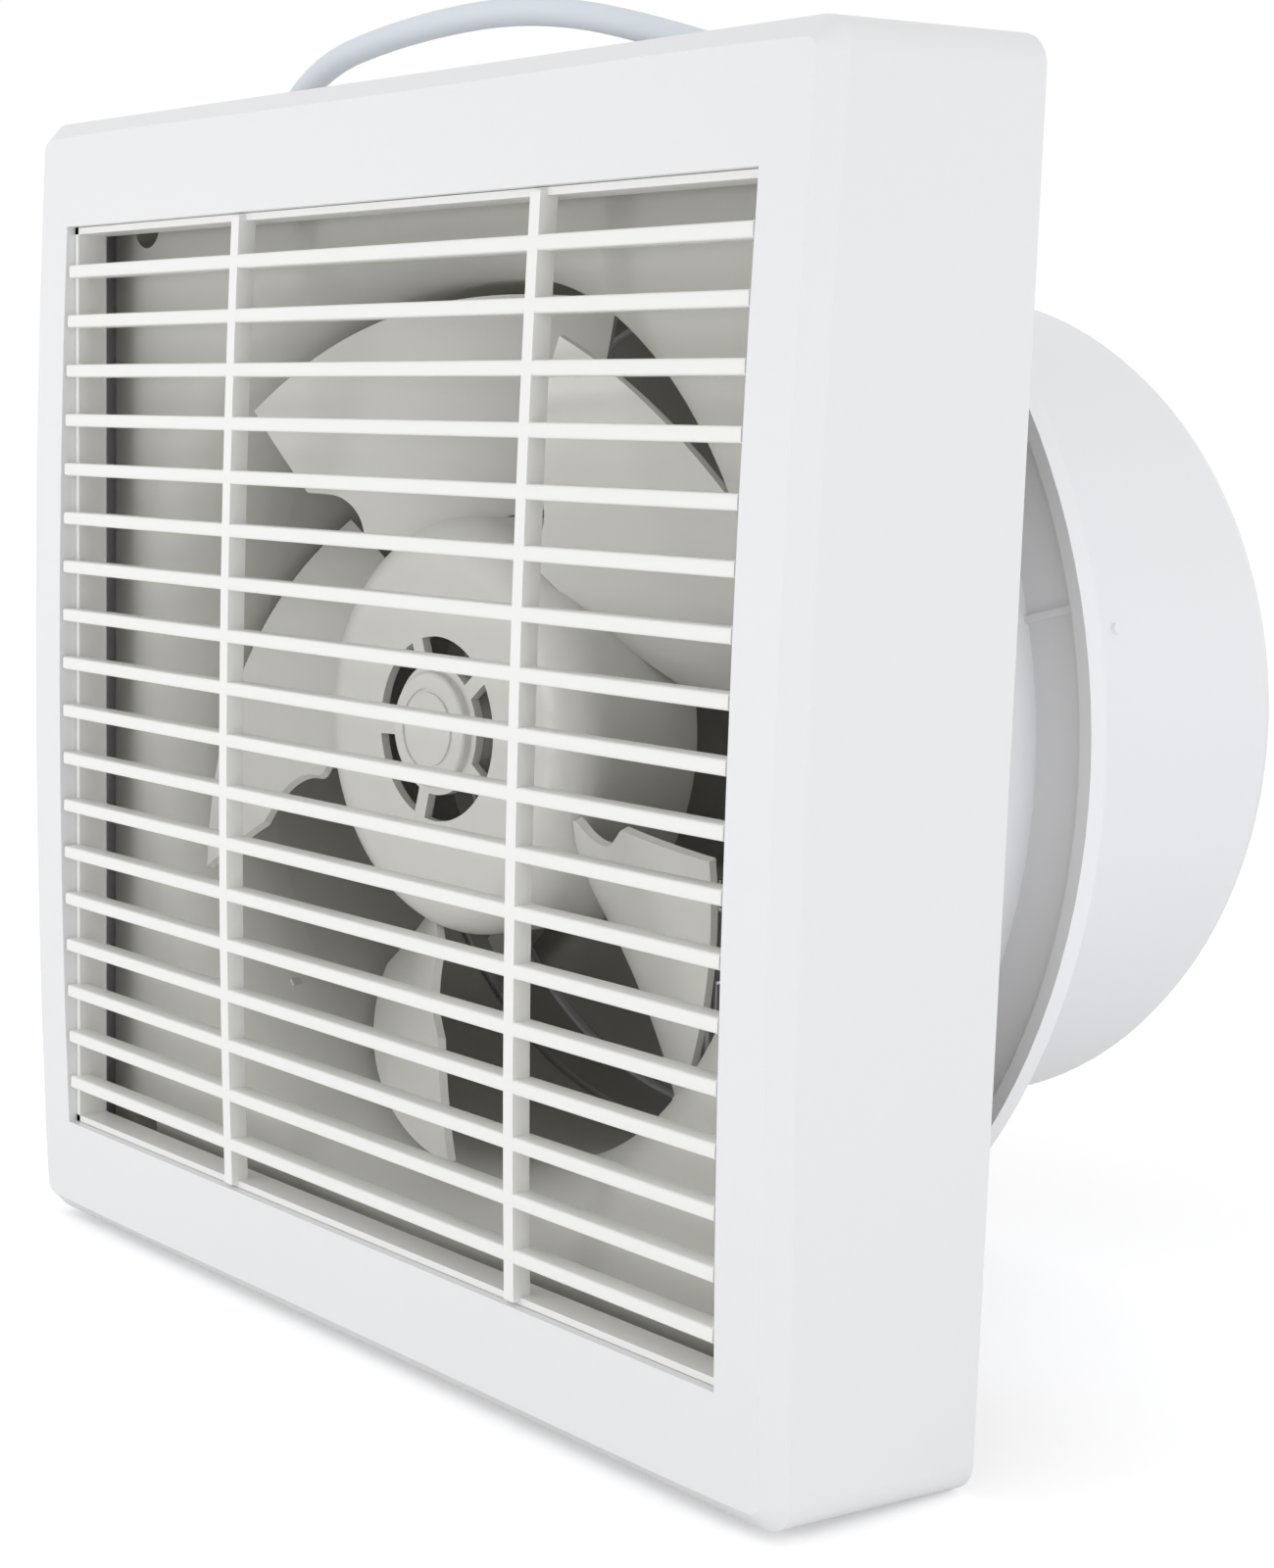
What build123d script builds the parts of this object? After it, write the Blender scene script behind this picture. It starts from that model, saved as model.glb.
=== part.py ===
from build123d import *
import os
from math import atan2, cos, degrees, hypot, pi, radians, sin, tan

os.makedirs("parts", exist_ok=True)

# A square wall and window exhaust fan, seen from the room towards +Y.
# +X is to the right, +Z is up, and the part stands on the floor at Z = 0.
# Depths are counted from the plane of the face's top and bottom edges towards the wall.

# Front cover
panel_side = 290.0
panel_depth = 54.0
cover_inset = 2.8
cover_wall = 2.6
cover_corner = 7.0
face_thickness = 3.0
face_crown = 3.9
face_chamfer = 4.2
opening_width = 251.0
opening_height = 232.6
trim_room = 30.0

# Louvre grille
slat_count = 18
slat_pitch = 12.38
slat_height = 3.2
slat_depth = 5.6
slat_recess = 0.5
bar_width = 3.2
bar_depth = 4.6
bar_left_x = -48.5
bar_right_x = 61.0
grille_gap = 0.15
grille_rim = 1.6
grille_rim_depth = 8.0
grille_flange = 5.0
grille_flange_thickness = 1.6

# Base frame with its bell mouth, throat and neck
pan_margin = 11.5
pan_front = 17.4
pan_wall = 2.4
pan_corner = 16.0
pan_foot_gap = 0.4
mouth_margin = 9.8
throat_radius = 102.5
throat_wall = 1.6
throat_start = 44.0
throat_end = 92.0
neck_wall = 2.3
neck_end = 76.0
wall_hole_inset = 15.5
wall_hole_radius = 2.6
wall_boss_radius = 8.0
boss_radius = 5.0
boss_offset = 0.6
boss_start = 24.5
boss_end = 75.0
boss_web = 2.0
web_start = 34.0
clamp_count = 4
clamp_angle = 45.0
screw_grip = 38.0

# Rear duct with its clamp flange
flange_radius = 145.0
flange_front = 79.0
flange_recess = 2.0
flange_thickness = 3.0
flange_rim = 3.0
collar_gap = 0.3
collar_wall = 2.7
collar_front = 73.0
rib_count = 6
rib_width = 1.6
rib_angle = 14.5
rib_height = 1.2
duct_radius = 107.0
duct_wall = 2.6
duct_end = 195.0
duct_lip = 1.2
duct_lip_width = 3.0
seat_depth = 2.0
seat_width = 3.6
seat_gap = 0.3

# Backdraft flaps on an upright rod
rod_depth = 113.0
rod_radius = 2.0
flap_thickness = 1.4
flap_gap = 1.4
flap_split = 0.9
knuckle_wall = 1.5
knuckle_height = 18.0
knuckle_play = 0.05
knuckle_step = 34.0

# Motor
motor_radius = 39.0
motor_front = 62.0
motor_length = 38.0
motor_wall = 1.6
nose_radius = 10.0
nose_length = 8.0
nose_stop = 1.5
stator_length = 22.0
stator_inner = 23.0
stator_yoke = 31.0
pole_width = 14.0
coil_wire = 3.0
coil_seat = 24.4
coil_height = 4.0
rotor_radius = 22.4
shaft_radius = 4.0
shaft_start = 26.0
bearing_radius = 8.0
bearing_length = 8.0
bearing_play = 0.03
spacer_radius = 6.5
spacer_gap = 0.3
tie_circle = 34.2
tie_radius = 1.6
tie_count = 4
tie_angle = 45.0
tie_head = 3.2
tie_head_height = 2.4

# Motor spider and its rubber bushes
spider_front = 94.0
spider_ring = 2.2
spider_gap = 0.3
spider_plate = 3.5
spider_bore = 12.5
spider_disc = 42.0
arm_width = 9.0
arm_depth = 6.0
bush_thickness = 2.0
bush_radius = 4.5

# Impeller
hub_radius = 48.5
hub_front = 23.0
hub_end = 60.0
hub_wall = 2.2
hub_round = 11.0
hub_boss_radius = 14.4
hub_boss_end = 52.0
nut_seat = 33.0
nut_room = 11.8
hub_slot_outer = 21.3
hub_slot_inner = 15.2
hub_spoke = 3.8
hub_spoke_angle = 39.0
hub_cap_radius = 13.4
hub_cap_thickness = 2.4
cap_groove = 9.0
nut_radius = 7.0
nut_height = 5.0
washer_thickness = 1.2
washer_radius = 8.0
blade_count = 5
blade_first = 108.0
blade_tip = 99.5
blade_root = 47.4
blade_middle = 40.8
blade_thickness = 1.9
blade_pitch_root = 42.0
blade_pitch_tip = 21.0
blade_chord_root = 50.0
blade_chord_tip = 114.0
blade_camber = 0.055
blade_lead_round = 17.0
blade_waist = 12.6
blade_hook = 12.0
blade_trail_round = 14.0
blade_shoulder = 16.0

# Terminal box beside the neck, turned so that the cord leaves square to one side
box_side_inset = 20.5
box_top_inset = 41.5
box_side = 24.0
box_round = 4.0
box_wall = 1.8
box_gap = 0.1
hood_end = 72.0
hood_lip = 4.0
block_side = 15.0
block_depth = 14.0
block_screw_radius = 2.2
block_screw_pitch = 6.5
block_screw_height = 1.4
lead_radius = 1.8
lead_depth = 67.4
lead_play = 0.2
lead_bend = 6.0

# Supply cord, its gland, coil and plug
cord_radius = 3.25
cord_depth = 62.5
exit_angle = 124.2
gland_length = 20.0
cord_first = 24.6
gland_root = 6.2
gland_tip = 4.5
coil_gap = 0.6
coil_outer = 43.0
coil_half_turns = 5
coil_exit_radius = 25.0
floor_gap = 0.05
tie_band = 1.0
tie_band_width = 6.0
tie_gap = 0.2
plug_length = 34.0
plug_width = 35.0
plug_pin_radius = 2.0
plug_pin_length = 19.0
plug_pin_pitch = 19.0

# Screws and clips
screw_radius = 2.0
screw_length = 40.0
head_radius = 3.8
head_height = 2.4
clip_thickness = 0.8
clip_width = 24.0
clip_height = 20.0
clip_spread = 70.0
clip_front = 22.0
clip_reach = 8.0

# Derived places
axis_z = panel_side / 2
front_y = -(duct_end - face_crown) / 2
pan_side = panel_side - 2 * pan_margin
mouth_radius = pan_side / 2 - mouth_margin
wall_hole_pitch = pan_side - 2 * wall_hole_inset
boss_circle = (throat_radius + throat_wall + mouth_radius) / 2 + boss_offset
box_x = pan_side / 2 - box_side_inset
box_height = pan_side / 2 - box_top_inset
fan_axis = Axis((0, 0, axis_z), (0, 1, 0))
neck_radius = mouth_radius + neck_wall
collar_inner = neck_radius + collar_gap
collar_radius = collar_inner + collar_wall
duct_inner = duct_radius - duct_wall
plate_front = flange_front + flange_recess
plate_back = plate_front + flange_thickness
motor_back = motor_front + motor_length
motor_middle = motor_front + motor_length / 2
seat_front = rod_depth - flap_thickness / 2 - seat_gap - seat_depth


def upright(depth):
    # a wall-parallel plane, seen from the room: local x is X, local y is height about the fan's axis
    return Plane(origin=(0, front_y + depth, axis_z), x_dir=(1, 0, 0), z_dir=(0, -1, 0))


def outward(angle, depth, radius):
    # a plane square to a radius of the fan, local x along the depth
    way = Vector(cos(radians(angle)), 0, sin(radians(angle)))
    place = Vector(0, front_y + depth, axis_z) + way * radius
    return Plane(place, x_dir=(0, 1, 0), z_dir=way)


axial = Plane(origin=(0, front_y, axis_z), x_dir=(0, 1, 0), z_dir=(1, 0, 0))


def save(builder, name):
    builder.part.label = name
    export_step(builder.part, "parts/" + name + ".step")


def ring(start, end, outer, inner):
    # a plain ring about the fan's axis, between two depths
    with BuildPart() as piece:
        with BuildSketch(axial):
            with Locations(((start + end) / 2, (outer + inner) / 2)):
                Rectangle(end - start, outer - inner)
        revolve(axis=fan_axis, revolution_arc=360)
    return piece


def rod(start, end, radius, x=0.0, height=0.0):
    # a plain rod along the depth
    with BuildPart() as piece:
        with BuildSketch(upright(end)):
            with Locations((x, height)):
                Circle(radius)
        extrude(amount=end - start)
    return piece


def crowned(recess, depth):
    # the slab between the crowned face's own curve and the same curve further in
    half = panel_side / 2
    with BuildPart() as slab:
        with BuildSketch(axial):
            with BuildLine():
                front = ThreePointArc((recess, -half), (recess - face_crown, 0), (recess, half))
                back = ThreePointArc(
                    (recess + depth, half), (recess + depth - face_crown, 0), (recess + depth, -half)
                )
                Line(front @ 1, back @ 0)
                Line(back @ 1, front @ 0)
            make_face()
        extrude(amount=half, both=True)
    return slab.part


# FRONT COVER
front_room = crowned(-trim_room, trim_room)
with BuildPart() as front_cover:
    with BuildSketch(upright(panel_depth)):
        RectangleRounded(panel_side, panel_side, cover_corner)
    with BuildSketch(upright(-face_crown)):
        face_side = panel_side - 2 * cover_inset
        RectangleRounded(face_side, face_side, cover_corner)
    loft()
    add(front_room, mode=Mode.SUBTRACT)
    chamfer(front_cover.faces().sort_by(Axis.Y)[0].outer_wire().edges(), face_chamfer)
    with BuildSketch(upright(panel_depth)):
        inner = panel_side - 2 * cover_wall
        RectangleRounded(inner, inner, cover_corner - cover_wall)
    with BuildSketch(upright(face_thickness)):
        inner_front = panel_side - 2 * cover_wall - 2 * cover_inset
        RectangleRounded(inner_front, inner_front, cover_corner - cover_wall)
    loft(mode=Mode.SUBTRACT)
    with BuildSketch(upright(panel_depth)):
        Rectangle(opening_width, opening_height)
    extrude(amount=panel_depth + 2 * face_crown, mode=Mode.SUBTRACT)
save(front_cover, "front_cover")

# LOUVRE GRILLE, SET INTO THE OPENING
grille_width = opening_width - 2 * grille_gap
grille_height = opening_height - 2 * grille_gap
slat_span = grille_width - grille_rim
with BuildPart() as bars:
    with BuildSketch(upright(slat_depth + 2)):
        with Locations((bar_left_x, 0), (bar_right_x, 0)):
            Rectangle(bar_width, grille_height - grille_rim)
    extrude(amount=slat_depth + 2 + 2 * face_crown)
    add(crowned(slat_recess, bar_depth), mode=Mode.INTERSECT)
with BuildPart() as louvre_grille:
    with BuildSketch(upright(slat_depth + 2)):
        with GridLocations(0, slat_pitch, 1, slat_count):
            Rectangle(slat_span, slat_height)
    extrude(amount=slat_depth + 2 + 2 * face_crown)
    add(crowned(slat_recess, slat_depth), mode=Mode.INTERSECT)
    add(bars.part)
    rim_front = slat_recess + 0.4
    with BuildSketch(upright(rim_front + grille_rim_depth)):
        Rectangle(grille_width, grille_height)
        Rectangle(grille_width - 2 * grille_rim, grille_height - 2 * grille_rim, mode=Mode.SUBTRACT)
    extrude(amount=grille_rim_depth)
    flange_back = face_thickness + grille_gap + grille_flange_thickness
    with BuildSketch(upright(flange_back)):
        Rectangle(grille_width + 2 * grille_flange, grille_height + 2 * grille_flange)
        Rectangle(grille_width - grille_rim, grille_height - grille_rim, mode=Mode.SUBTRACT)
    extrude(amount=grille_flange_thickness)
save(louvre_grille, "louvre_grille")

# BASE FRAME: PAN, BELL MOUTH, THROAT, NECK AND SCREW BOSSES
foot_side = panel_side - 2 * cover_wall - 2 * pan_foot_gap
box_place = Location((box_x, box_height, 0), (0, 0, exit_angle))
box_bearing = degrees(atan2(box_height, box_x))
wall_spots = [(sx * wall_hole_pitch / 2, sz * wall_hole_pitch / 2) for sx in (-1, 1) for sz in (-1, 1)]
with BuildPart() as base_frame:
    with BuildSketch(upright(panel_depth)):
        RectangleRounded(pan_side, pan_side, pan_corner)
    extrude(amount=panel_depth - pan_front)
    with BuildSketch(upright(panel_depth)):
        RectangleRounded(pan_side - 2 * pan_wall, pan_side - 2 * pan_wall, pan_corner - pan_wall)
    extrude(amount=panel_depth - pan_front - pan_wall, mode=Mode.SUBTRACT)
    with BuildSketch(upright(panel_depth)):
        RectangleRounded(foot_side, foot_side, cover_corner - cover_wall)
        RectangleRounded(pan_side - pan_wall, pan_side - pan_wall, pan_corner, mode=Mode.SUBTRACT)
    extrude(amount=pan_wall)
    with BuildSketch(upright(panel_depth)):
        with Locations(*wall_spots):
            Circle(wall_boss_radius)
    extrude(amount=panel_depth - pan_front)
    with BuildSketch(upright(panel_depth)):
        with Locations(*wall_spots):
            Circle(wall_hole_radius)
    extrude(amount=panel_depth - pan_front, mode=Mode.SUBTRACT)
    with BuildSketch(upright(pan_front + 8)):
        with Locations(*wall_spots):
            Circle(wall_boss_radius - 2)
    extrude(amount=8, mode=Mode.SUBTRACT)
    with BuildSketch(upright(panel_depth)):
        Circle(mouth_radius + neck_wall / 2)
    extrude(amount=panel_depth, mode=Mode.SUBTRACT)
    with BuildSketch(axial):
        with BuildLine():
            flare_in = throat_start - pan_front
            mouth = EllipticalCenterArc(
                (throat_start, mouth_radius),
                flare_in,
                mouth_radius - throat_radius,
                start_angle=180,
                arc_size=90,
            )
            back = EllipticalCenterArc(
                (throat_start, mouth_radius),
                flare_in - throat_wall,
                mouth_radius - throat_radius - throat_wall,
                start_angle=180,
                arc_size=90,
            )
            outer = Polyline(
                mouth @ 1,
                (throat_end, throat_radius),
                (throat_end, throat_radius + throat_wall),
                back @ 1,
            )
            neck = Polyline(
                back @ 0,
                (neck_end, mouth_radius),
                (neck_end, neck_radius),
                (pan_front, neck_radius),
                mouth @ 0,
            )
        make_face()
    revolve(axis=fan_axis, revolution_arc=360)
    with BuildSketch(upright(boss_end)):
        with PolarLocations(boss_circle, clamp_count, start_angle=clamp_angle):
            Circle(boss_radius)
    extrude(amount=boss_end - boss_start)
    web_out = mouth_radius + neck_wall / 2
    web_in = throat_radius + throat_wall / 2
    with BuildSketch(upright(boss_end)):
        with PolarLocations((web_out + web_in) / 2, clamp_count, start_angle=clamp_angle):
            Rectangle(web_out - web_in, boss_web)
    extrude(amount=boss_end - web_start)
    with BuildSketch(upright(boss_end)):
        with PolarLocations(boss_circle, clamp_count, start_angle=clamp_angle):
            Circle(screw_radius)
    extrude(amount=screw_grip, mode=Mode.SUBTRACT)
    with BuildSketch(upright(panel_depth)):
        with Locations(box_place):
            RectangleRounded(box_side, box_side, box_round)
            inside = box_side - 2 * box_wall
            RectangleRounded(inside, inside, box_round - box_wall, mode=Mode.SUBTRACT)
    extrude(amount=panel_depth - pan_front - pan_wall)
    with BuildSketch(outward(box_bearing, lead_depth, throat_radius - 2)):
        Circle(lead_radius + lead_play)
    extrude(amount=mouth_radius - throat_radius + neck_wall + 4, mode=Mode.SUBTRACT)
save(base_frame, "base_frame")

# REAR DUCT WITH ITS CLAMP FLANGE, COLLAR, RIBS AND FLAP SEAT
rod_reach = duct_inner + duct_wall / 2
rod_floor = Plane(origin=(0, front_y + rod_depth, axis_z - rod_reach), z_dir=(0, 0, 1))
with BuildPart() as rear_duct:
    with BuildSketch(axial):
        with BuildLine():
            Polyline(
                (plate_front, duct_inner),
                (plate_front, collar_inner),
                (collar_front, collar_inner),
                (collar_front, collar_radius),
                (plate_front, collar_radius),
                (plate_front, flange_radius - flange_rim),
                (flange_front, flange_radius - flange_rim),
                (flange_front, flange_radius),
                (plate_back, flange_radius),
                (plate_back, duct_radius),
                (duct_end - duct_lip_width, duct_radius),
                (duct_end, duct_radius - duct_lip),
                (duct_end, duct_inner),
                (seat_front + seat_depth, duct_inner),
                (seat_front + seat_depth, duct_inner - seat_width),
                (seat_front, duct_inner - seat_width),
                (seat_front, duct_inner),
                close=True,
            )
        make_face()
    revolve(axis=fan_axis, revolution_arc=360)
    with BuildSketch(upright(plate_front)):
        rib_out = flange_radius - flange_rim / 2
        rib_in = collar_radius - collar_wall / 2
        with PolarLocations((rib_out + rib_in) / 2, rib_count, start_angle=rib_angle):
            Rectangle(rib_out - rib_in, rib_width)
    extrude(amount=rib_height)
    with BuildSketch(upright(plate_back)):
        with PolarLocations(boss_circle, clamp_count, start_angle=clamp_angle):
            Circle(screw_radius)
    extrude(amount=flange_thickness, mode=Mode.SUBTRACT)
    with BuildSketch(rod_floor):
        Circle(rod_radius)
    extrude(amount=2 * rod_reach, mode=Mode.SUBTRACT)
save(rear_duct, "rear_duct")

# CLAMP SCREWS THROUGH THE FLANGE INTO THE BASE FRAME
with BuildPart() as clamp_screws:
    with BuildSketch(upright(plate_back)):
        with PolarLocations(boss_circle, clamp_count, start_angle=clamp_angle):
            Circle(screw_radius)
    extrude(amount=screw_length)
    with BuildSketch(upright(plate_back + head_height)):
        with PolarLocations(boss_circle, clamp_count, start_angle=clamp_angle):
            Circle(head_radius)
    extrude(amount=head_height)
    with BuildSketch(upright(plate_back + head_height)):
        with PolarLocations(boss_circle, clamp_count, start_angle=clamp_angle):
            Rectangle(head_radius * 1.1, head_height * 0.25)
            Rectangle(head_height * 0.25, head_radius * 1.1)
    extrude(amount=head_height * 0.6, mode=Mode.SUBTRACT)
save(clamp_screws, "clamp_screws")


# MOTOR SHELLS, MIRRORED ABOUT THE MOTOR'S MIDDLE
def shell(side):
    # side is 1 for the room's end and -1 for the wall's end
    def at(depth, radius):
        return (motor_middle + side * (depth - motor_middle), radius)

    with BuildPart() as piece:
        with BuildSketch(axial):
            with BuildLine():
                Polyline(
                    at(motor_front - nose_length, shaft_radius + 1),
                    at(motor_front - nose_length, nose_radius),
                    at(motor_front, nose_radius),
                    at(motor_front, motor_radius),
                    at(motor_middle, motor_radius),
                    at(motor_middle, motor_radius - motor_wall),
                    at(motor_front + motor_wall, motor_radius - motor_wall),
                    at(motor_front + motor_wall, bearing_radius),
                    at(motor_front - nose_length + nose_stop, bearing_radius),
                    at(motor_front - nose_length + nose_stop, shaft_radius + 1),
                    close=True,
                )
            make_face()
        revolve(axis=fan_axis, revolution_arc=360)
        with BuildSketch(upright(motor_back)):
            with PolarLocations(tie_circle, tie_count, start_angle=tie_angle):
                Circle(tie_radius)
        extrude(amount=motor_length, mode=Mode.SUBTRACT)
        with BuildSketch(outward(box_bearing, lead_depth, motor_radius - 4)):
            Circle(lead_radius)
        extrude(amount=6, mode=Mode.SUBTRACT)
    return piece


motor_front_shell = shell(1)
save(motor_front_shell, "motor_front_shell")
motor_rear_shell = shell(-1)
save(motor_rear_shell, "motor_rear_shell")

# STATOR CORE WITH FOUR POLES
stator_end = motor_middle + stator_length / 2
with BuildPart() as stator_core:
    with BuildSketch(upright(stator_end)):
        Circle(motor_radius - motor_wall)
        Circle(stator_yoke, mode=Mode.SUBTRACT)
        pole_length = stator_yoke + 2 - stator_inner
        with PolarLocations(stator_inner + pole_length / 2, tie_count):
            Rectangle(pole_length, pole_width)
        Circle(stator_inner, mode=Mode.SUBTRACT)
        with PolarLocations(tie_circle, tie_count, start_angle=tie_angle):
            Circle(tie_radius, mode=Mode.SUBTRACT)
    extrude(amount=stator_length)
save(stator_core, "stator_core")

# WINDINGS ROUND THE POLES
with BuildPart() as windings:
    for pole in range(tie_count):
        with BuildSketch(outward(pole * 90.0, motor_middle, coil_seat)):
            Rectangle(stator_length + 2 * coil_wire, pole_width + 2 * coil_wire)
            Rectangle(stator_length, pole_width, mode=Mode.SUBTRACT)
        extrude(amount=coil_height)
save(windings, "windings")

# BEARINGS, SHAFT, SPACERS AND ROTOR CORE
nose_start = motor_front - nose_length + nose_stop
front_bearing = ring(nose_start, nose_start + bearing_length, bearing_radius, shaft_radius + bearing_play)
save(front_bearing, "front_bearing")
rear_stop = 2 * motor_middle - nose_start
rear_bearing = ring(rear_stop - bearing_length, rear_stop, bearing_radius, shaft_radius + bearing_play)
save(rear_bearing, "rear_bearing")
shaft = rod(shaft_start, rear_stop, shaft_radius)
save(shaft, "shaft")
rotor_start = motor_middle - stator_length / 2
rotor_core = ring(rotor_start, rotor_start + stator_length, rotor_radius, shaft_radius)
save(rotor_core, "rotor_core")
with BuildPart() as shaft_spacers:
    bearing_inside = nose_start + bearing_length + spacer_gap
    add(ring(bearing_inside, rotor_start, spacer_radius, shaft_radius).part)
    rear_inside = rear_stop - bearing_length - spacer_gap
    add(ring(rotor_start + stator_length, rear_inside, spacer_radius, shaft_radius).part)
    add(ring(hub_boss_end, nose_start - nose_stop - spacer_gap, spacer_radius, shaft_radius).part)
save(shaft_spacers, "shaft_spacers")

# MOTOR SPIDER, RUBBER BUSHES, TIE BOLTS AND THEIR NUTS
plate_start = motor_back + bush_thickness
plate_end = plate_start + spider_plate
spider_radius = duct_inner - spider_gap
with BuildPart() as motor_spider:
    with BuildSketch(upright(seat_front)):
        Circle(spider_radius)
        Circle(spider_radius - spider_ring, mode=Mode.SUBTRACT)
    extrude(amount=seat_front - spider_front)
    with BuildSketch(upright(plate_end)):
        Circle(spider_disc)
        Circle(spider_bore, mode=Mode.SUBTRACT)
    extrude(amount=spider_plate)
    arm_out = spider_radius - spider_ring / 2
    arm_in = spider_disc - 2
    with BuildSketch(upright(plate_end)):
        with PolarLocations((arm_out + arm_in) / 2, tie_count, start_angle=tie_angle):
            Rectangle(arm_out - arm_in, arm_width)
    extrude(amount=arm_depth)
    with BuildSketch(upright(plate_end)):
        with PolarLocations(tie_circle, tie_count, start_angle=tie_angle):
            Circle(tie_radius)
    extrude(amount=arm_depth, mode=Mode.SUBTRACT)
save(motor_spider, "motor_spider")
with BuildPart() as rubber_bushes:
    with BuildSketch(upright(plate_start)):
        with PolarLocations(tie_circle, tie_count, start_angle=tie_angle):
            Circle(bush_radius)
            Circle(tie_radius, mode=Mode.SUBTRACT)
    extrude(amount=bush_thickness)
save(rubber_bushes, "rubber_bushes")
with BuildPart() as tie_bolts:
    with BuildSketch(upright(plate_end + tie_head_height)):
        with PolarLocations(tie_circle, tie_count, start_angle=tie_angle):
            Circle(tie_radius)
    extrude(amount=plate_end + tie_head_height - motor_front)
    with BuildSketch(upright(motor_front)):
        with PolarLocations(tie_circle, tie_count, start_angle=tie_angle):
            Circle(tie_head)
    extrude(amount=tie_head_height)
save(tie_bolts, "tie_bolts")
with BuildPart() as tie_nuts:
    with BuildSketch(upright(plate_end + tie_head_height)):
        with PolarLocations(tie_circle, tie_count, start_angle=tie_angle):
            RegularPolygon(tie_head, 6)
            Circle(tie_radius, mode=Mode.SUBTRACT)
    extrude(amount=tie_head_height)
save(tie_nuts, "tie_nuts")


# IMPELLER: HUB CUP, BOSS AND FIVE PITCHED BLADES
def blade_plane(radius, pitch):
    # a plane square to the radius of the upright blade, local x along the chord
    chord_way = Vector(cos(radians(pitch)), sin(radians(pitch)), 0)
    return Plane((0, front_y + blade_middle, axis_z + radius), x_dir=chord_way, z_dir=(0, 0, 1))


def blade_section(radius, pitch, chord):
    # a thin curved strip; its hollow side faces the wall
    half = chord / 2
    rise = blade_camber * chord
    thick = blade_thickness / 2
    with BuildSketch(blade_plane(radius, pitch)) as strip:
        with BuildLine():
            low = ThreePointArc((-half, -thick), (0, -rise - thick), (half, -thick))
            high = ThreePointArc((half, thick), (0, -rise + thick), (-half, thick))
            Line(low @ 1, high @ 0)
            Line(high @ 1, low @ 0)
        make_face()
    return strip.sketch


mean_pitch = (blade_pitch_root + blade_pitch_tip) / 2
face_way = (sin(radians(mean_pitch)), -cos(radians(mean_pitch)), 0)
mean_way = (cos(radians(mean_pitch)), sin(radians(mean_pitch)), 0)
with BuildPart() as outline:
    with BuildSketch(Plane((0, front_y + blade_middle, axis_z), x_dir=mean_way, z_dir=face_way)):
        with BuildLine():
            wide = blade_chord_tip / 2 + 1
            narrow = blade_chord_root / 2 - 2.5
            FilletPolyline(
                (-narrow, blade_root),
                (-narrow, blade_root + blade_waist),
                (-wide, blade_tip * 0.725),
                (-wide * 0.88, blade_tip),
                (wide * 0.96, blade_tip),
                (wide, blade_tip * 0.74),
                (narrow, blade_root),
                close=True,
                radius=[2, blade_hook, blade_hook, blade_lead_round, blade_trail_round, blade_shoulder, 2],
            )
        make_face()
    extrude(amount=blade_chord_tip / 2, both=True)
    with BuildSketch(upright(blade_middle + blade_chord_tip)):
        Circle(blade_tip)
    extrude(amount=2 * blade_chord_tip, mode=Mode.INTERSECT)

with BuildPart() as blade:
    section_in = 44.0
    section_mid = 74.0
    section_out = blade_tip + 4
    share = (section_mid - section_in) / (section_out - section_in)
    mid_pitch = blade_pitch_root + (blade_pitch_tip - blade_pitch_root) * share
    mid_chord = blade_chord_root + (blade_chord_tip - blade_chord_root) * share
    add(blade_section(section_in, blade_pitch_root, blade_chord_root))
    add(blade_section(section_mid, mid_pitch, mid_chord))
    add(blade_section(section_out, blade_pitch_tip, blade_chord_tip))
    loft()
    add(outline.part, mode=Mode.INTERSECT)

with BuildPart() as impeller:
    with BuildSketch(axial):
        with BuildLine():
            curve_in = hub_round - hub_wall
            Line((hub_front, nut_room), (hub_front, hub_radius - hub_round))
            CenterArc((hub_front + hub_round, hub_radius - hub_round), hub_round, 90, 90)
            Polyline(
                (hub_front + hub_round, hub_radius),
                (hub_end, hub_radius),
                (hub_end, hub_radius - hub_wall),
                (hub_front + hub_round, hub_radius - hub_wall),
            )
            CenterArc((hub_front + hub_round, hub_radius - hub_round), curve_in, 90, 90)
            Polyline(
                (hub_front + hub_wall, hub_radius - hub_round),
                (hub_front + hub_wall, hub_boss_radius),
                (hub_boss_end, hub_boss_radius),
                (hub_boss_end, shaft_radius),
                (nut_seat, shaft_radius),
                (nut_seat, nut_room),
                (hub_front, nut_room),
            )
        make_face()
    revolve(axis=fan_axis, revolution_arc=360)
    slot_middle = (hub_slot_outer + hub_slot_inner) / 2
    slot_width = hub_slot_outer - hub_slot_inner
    with BuildSketch(upright(hub_front + hub_wall + 1)):
        Circle(hub_slot_outer)
        Circle(hub_slot_inner, mode=Mode.SUBTRACT)
        with PolarLocations(slot_middle, blade_count, start_angle=hub_spoke_angle):
            Rectangle(2 * slot_width, hub_spoke, mode=Mode.SUBTRACT)
    extrude(amount=hub_wall + 2, mode=Mode.SUBTRACT)
    for k in range(blade_count):
        add(blade.part.rotate(fan_axis, 90 - blade_first + k * 360 / blade_count))
save(impeller, "impeller")

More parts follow.
